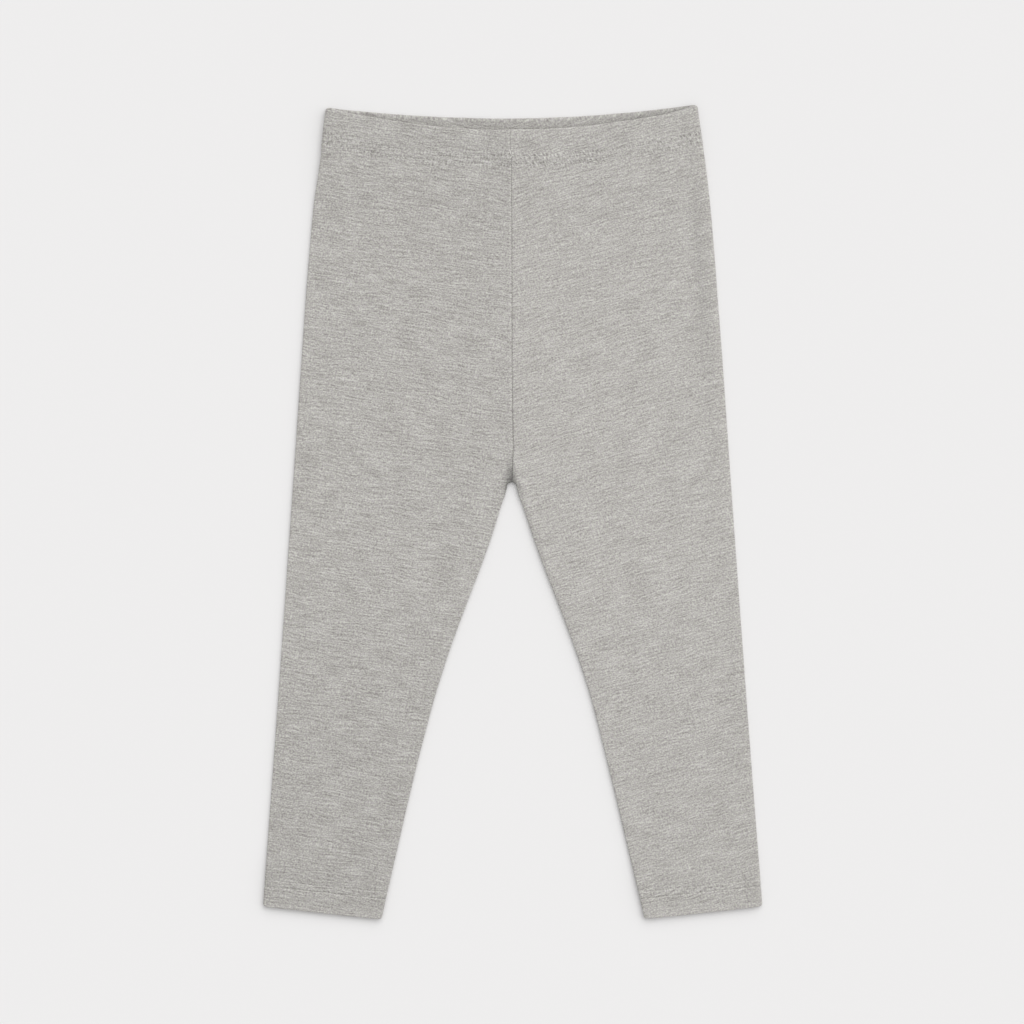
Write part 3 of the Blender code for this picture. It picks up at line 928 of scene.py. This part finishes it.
def heather_group():
    strengths = {label: layer[0] for label, layer in LAYERS.items()}
    group, given, out = new_group("heather_yarn", strengths | {"Courses": COURSE_BANDS},
                                  "Shade", "Tint")
    wander = noise(group, given["Place"], 20, 12, 71)
    wander = node(group, "CombineXYZ", Y=centred(group, wander, YARN_WANDER))
    place = node(group, "VectorMath", operation="ADD", _0=given["Place"], _1=wander)
    values = {label: noise(group, place, *layer) for label, (_, *layer) in LAYERS.items()}
    split = node(group, "SeparateXYZ", Vector=place).node
    course = calc(group, "DIVIDE", split.outputs["Y"], COURSE_REPEAT)
    course = calc(group, "MULTIPLY_ADD", noise(group, place, 16, 5, 53), 2, course)
    values["Courses"] = calc(group, "MULTIPLY_ADD", sine(group, course), 0.5, 0.5)
    shade = 0.5
    for label, value in values.items():
        shade = calc(group, "ADD", shade, centred(group, value, given[label]))
    feed(out, Shade=shade, Tint=values["Grain"])
    return group


heather = heather_group()
print("heather group:", len(heather.nodes), "nodes")

# %% [markdown]
# ## Knit loops and puckers
# Single jersey shows columns of small V-shaped loops, 0.7 mm wide and 0.55 mm high. They
# are too many to model, so they are a height for a Bump node. The stitching adds puckers,
# which are short ridges across the two rows, a millimetre or two apart.

# %% The loops group and the puckers group
WALE, COURSE, PUCKER_REACH = 0.70 * MM, 0.55 * MM, 2.1 * MM


def loops_group():
    group, given, out = new_group("knit_loops", {}, "Height")
    wander = noise(group, given["Place"], 6, 6, 5, 2)
    split = node(group, "SeparateXYZ", Vector=given["Place"])
    across = calc(group, "ADD", calc(group, "DIVIDE", split, WALE), wander)
    along = calc(group, "DIVIDE", split.node.outputs["Y"], COURSE)
    beside = calc(group, "PINGPONG", across, 0.5)  # 0 and 0.5 between two columns
    slant = calc(group, "ADD", along, calc(group, "MULTIPLY", beside, 1.6))
    rungs = calc(group, "MULTIPLY_ADD", sine(group, slant), 0.35, 0.65)
    feed(out, Height=calc(group, "MULTIPLY", sine(group, beside), rungs))
    return group


def puckers_group():
    """Ridges across two rows of stitches, from the distance to the turned edge."""
    numbers = {"Distance": 1, "Row A": 0.016, "Row B": 0.021}
    group, given, out = new_group("stitch_puckers", numbers, "Height")
    peaks = []
    for label in ("Row A", "Row B"):
        off = calc(group, "SUBTRACT", given["Distance"], given[label])
        off = calc(group, "DIVIDE", off, PUCKER_REACH)
        off = calc(group, "MULTIPLY", calc(group, "MULTIPLY", off, off), -1)
        peaks.append(calc(group, "EXPONENT", off))
    cells = noise(group, given["Place"], 1.25, 2.4, 61)
    patchy = noise(group, given["Place"], 14, 30, 67, 1)
    patchy = node(group, "MapRange", Value=patchy, From_Min=0.25, From_Max=0.6, To_Min=0.35)
    mask = calc(group, "MULTIPLY", calc(group, "MAXIMUM", *peaks), patchy)
    feed(out, Height=centred(group, cells, mask))
    return group


loops, puckers = loops_group(), puckers_group()
print("loops:", len(loops.nodes), "nodes, puckers:", len(puckers.nodes), "nodes")

# %% [markdown]
# ## The jersey material
# The heather value picks a colour between dark, middle and pale fibre and lifts the
# surface a little, because pale fibres lie on top. The cloth is matt, with a weak sheen
# from its fuzz. The grain leans away from the centre differently on each leg, so each
# half has its own material from the same groups.

# %% Jersey
FIBRES = ((0.08, (0.285, 0.272, 0.255, 1)),  # dark
          (0.5, (0.455, 0.443, 0.421, 1)),
          (0.92, (0.640, 0.632, 0.604, 1)))  # pale
TINTS = (1.004, 0.967, 1.021, 1), (1.001, 1.022, 0.969, 1)
FUZZ = (0.9, 0.9, 0.88, 1)
KNIT_RELIEF, FIBRE_RELIEF, PUCKER_RELIEF = 0.03, 0.08, 0.8  # in mm
# Painted light and shade: the puckers' ridges are painted paler and their gaps darker.
PUCKER_LIGHT_AND_SHADE = 0.9
SHADOW_REACH = 0.6 * MM  # of the front's waist edge on the back


def new_material(name):
    material = bpy.data.materials.new(name)
    material.use_nodes = True
    return material, material.node_tree, material.node_tree.nodes["Principled BSDF"]


def attribute(tree, name):
    return node(tree, "Attribute", attribute_name=name).node.outputs["Fac"]


def mixed(tree, factor, first, second, blend="MIX"):
    return node(tree, "Mix", data_type="RGBA", blend_type=blend, Factor=factor,
                _6=first, _7=second).node.outputs[2]


def ramp(tree, value, *stops):
    """Colours for a value, from stops of (position, colour)."""
    made = node(tree, "ValToRGB", Fac=value)
    elements = made.node.color_ramp.elements
    for position, colour in stops[1:-1]:
        elements.new(position).color = colour
    for k in (0, -1):
        elements[k].position, elements[k].color = stops[k]
    return made


def jersey_material(name, grain, brightness, edge_shadow, contrast, long_streaks):
    """Heather jersey. grain is how far the courses rise towards the side, in degrees."""
    material, tree, shader = new_material(name)
    place = node(tree, "Mapping", Vector=node(tree, "UVMap", uv_map="cloth"),
                 Rotation=(0, 0, math.radians(grain)))

    fibre = node(tree, "Group", node_tree=heather, Place=place, Long=long_streaks)
    shade = calc(tree, "MULTIPLY_ADD", fibre, contrast, (1 - contrast) / 2)
    knit = node(tree, "Group", node_tree=loops, Place=place)
    height = calc(tree, "MULTIPLY", knit, KNIT_RELIEF)
    height = calc(tree, "MULTIPLY_ADD", shade, FIBRE_RELIEF, height)
    stitched = ("from_waist", CASING_STITCHES, 1), ("from_hem", HEM_STITCHES, 0.5)
    for key, (a, b), depth in stitched:
        pucker = node(tree, "Group", node_tree=puckers, Place=place, Row_A=a, Row_B=b,
                      Distance=attribute(tree, key))
        height = calc(tree, "MULTIPLY_ADD", pucker, PUCKER_RELIEF * depth, height)
        # The puckers' ridges are painted paler and their gaps darker, as painted light and
        # shade.
        shade = calc(tree, "MULTIPLY_ADD", pucker, PUCKER_LIGHT_AND_SHADE * depth, shade)

    colour = ramp(tree, shade, *FIBRES)
    warm = node(tree, "MapRange", Value=fibre.node.outputs["Tint"], From_Min=0.3, From_Max=0.7)
    colour = mixed(tree, 1, colour, mixed(tree, warm, *TINTS), "MULTIPLY")
    past = calc(tree, "MAXIMUM", attribute(tree, "past_edge"), 0)
    shadow = calc(tree, "EXPONENT", calc(tree, "DIVIDE", past, -SHADOW_REACH))
    lit = calc(tree, "MULTIPLY_ADD", shadow, -edge_shadow, brightness)
    lit = calc(tree, "MULTIPLY", attribute(tree, "painted_shade_and_tone"), lit)
    feed(shader, Base_Color=mixed(tree, 1, colour, lit, "MULTIPLY"),
         Normal=node(tree, "Bump", Height=height, Strength=1, Distance=MM),
         Roughness=node(tree, "MapRange", Value=shade, To_Min=0.97, To_Max=0.86),
         Specular_IOR_Level=0.25, Sheen_Weight=0.35, Sheen_Roughness=0.5, Sheen_Tint=FUZZ)
    return material


jerseys = {
    1: jersey_material("heather_jersey_left", grain=15.5, brightness=0.99,
                       edge_shadow=0.22, contrast=0.89, long_streaks=0.48),
    -1: jersey_material("heather_jersey_right", grain=8.5, brightness=0.945,
                        edge_shadow=0.05, contrast=0.96, long_streaks=0.56)}
print("nodes in a jersey material:", len(jerseys[1].node_tree.nodes))

# %% [markdown]
# The thread is a little paler and shinier than the jersey. Its twist is a fine wave for a
# Bump node, because a stitch is too small for modelled strands.

# %% Thread
def mottled(tree, scale, *stops):
    """Object coordinates, and a colour that wanders between two stops over them."""
    place = node(tree, "TexCoord").node.outputs["Object"]
    cloud = node(tree, "TexNoise", Vector=place, Scale=scale, Detail=1)
    return place, ramp(tree, cloud, *stops)


def thread_material():
    material, tree, shader = new_material("sewing_thread")
    place, colour = mottled(
        tree, 900, (0.3, (0.52, 0.51, 0.48, 1)), (0.7, (0.74, 0.73, 0.69, 1)))
    twist = node(tree, "TexWave", bands_direction="DIAGONAL", Vector=place, Scale=420,
                 Distortion=1)
    bump = node(tree, "Bump", Height=twist, Strength=0.5, Distance=0.05 * MM)
    feed(shader, Base_Color=colour, Normal=bump, Roughness=0.6, Sheen_Weight=0.1)
    return material


thread = thread_material()
for side in (1, -1):
    cloths[side].data.materials.append(jerseys[side])
    for rows in threads[side]:
        rows.data.materials.append(thread)

# %% [markdown]
# ## Put each piece on the body
# Every piece rides on the part's one body, and the cloths take the place of the solids,
# which are hidden.

# %% Put the pieces on the body
for side, name in ((1, "left"), (-1, "right")):
    cloth = cloths[side]
    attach(cloth, "root")
    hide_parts(f"waistband_{name}", f"leg_{name}", f"hem_{name}")
    for rows in threads[side]:
        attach(rows, "root")

# %% [markdown]
# ## Table, light and camera
# A flat plane is enough for the plain pale table. A broad soft light comes from beyond
# the waist and a weaker one from the right, so that relief shows and short shadows fall to
# the lower left. A dim sky fills the rest. The camera looks straight down through a long
# lens, which keeps the outline true.

# %% Table
def pale_surface():
    material, tree, shader = new_material("pale_table")
    colour = mottled(tree, 3, (0, (0.806, 0.799, 0.798, 1)), (1, (0.810, 0.803, 0.802, 1)))[1]
    feed(shader, Base_Color=colour, Roughness=1, Specular_IOR_Level=0)
    return material


bpy.ops.mesh.primitive_plane_add(size=12, location=(0, 0, -0.05 * MM))
table = bpy.context.object
table.name = "table"
bpy.ops.object.transform_apply()
table.data.materials.append(pale_surface())

# %% Lights and camera
VIEW_WIDTH = 0.6144  # seen at the level of the cloth
VIEW_SHIFT, VIEW_LEVEL = 0.75 * MM, 3 * MM
LIGHT_SPREAD = math.radians(60)


def sky_light(name, strength, azimuth, elevation):
    """Light from a wide part of the sky. Azimuth goes from +X towards +Y."""
    data = bpy.data.lights.new(name, "SUN")
    data.energy, data.angle = strength, LIGHT_SPREAD
    lamp = add_object(name, data)
    a, e = math.radians(azimuth), math.radians(elevation)
    lamp.location = math.cos(a) * math.cos(e), math.sin(a) * math.cos(e), math.sin(e)
    lamp.rotation_euler = lamp.location.to_track_quat("Z", "Y").to_euler()


sky_light("light_from_beyond_the_waist", 1.35, 78, 46)
sky_light("light_from_the_right", 0.75, 14, 40)

world = bpy.data.worlds.new("sky")
bpy.context.scene.world = world
world.use_nodes = True
feed(world.node_tree.nodes["Background"], Color=(1, 1, 1, 1), Strength=0.60)

lens = bpy.data.cameras.new("camera")
lens.lens, lens.sensor_width = 120, 36
camera = add_object("camera", lens)
camera.location = (0, VIEW_SHIFT, VIEW_WIDTH * lens.lens / lens.sensor_width + VIEW_LEVEL)
bpy.context.scene.camera = camera
bpy.context.scene.view_settings.view_transform = "Standard"
print("camera", round(camera.location.z, 3), "m above the table")
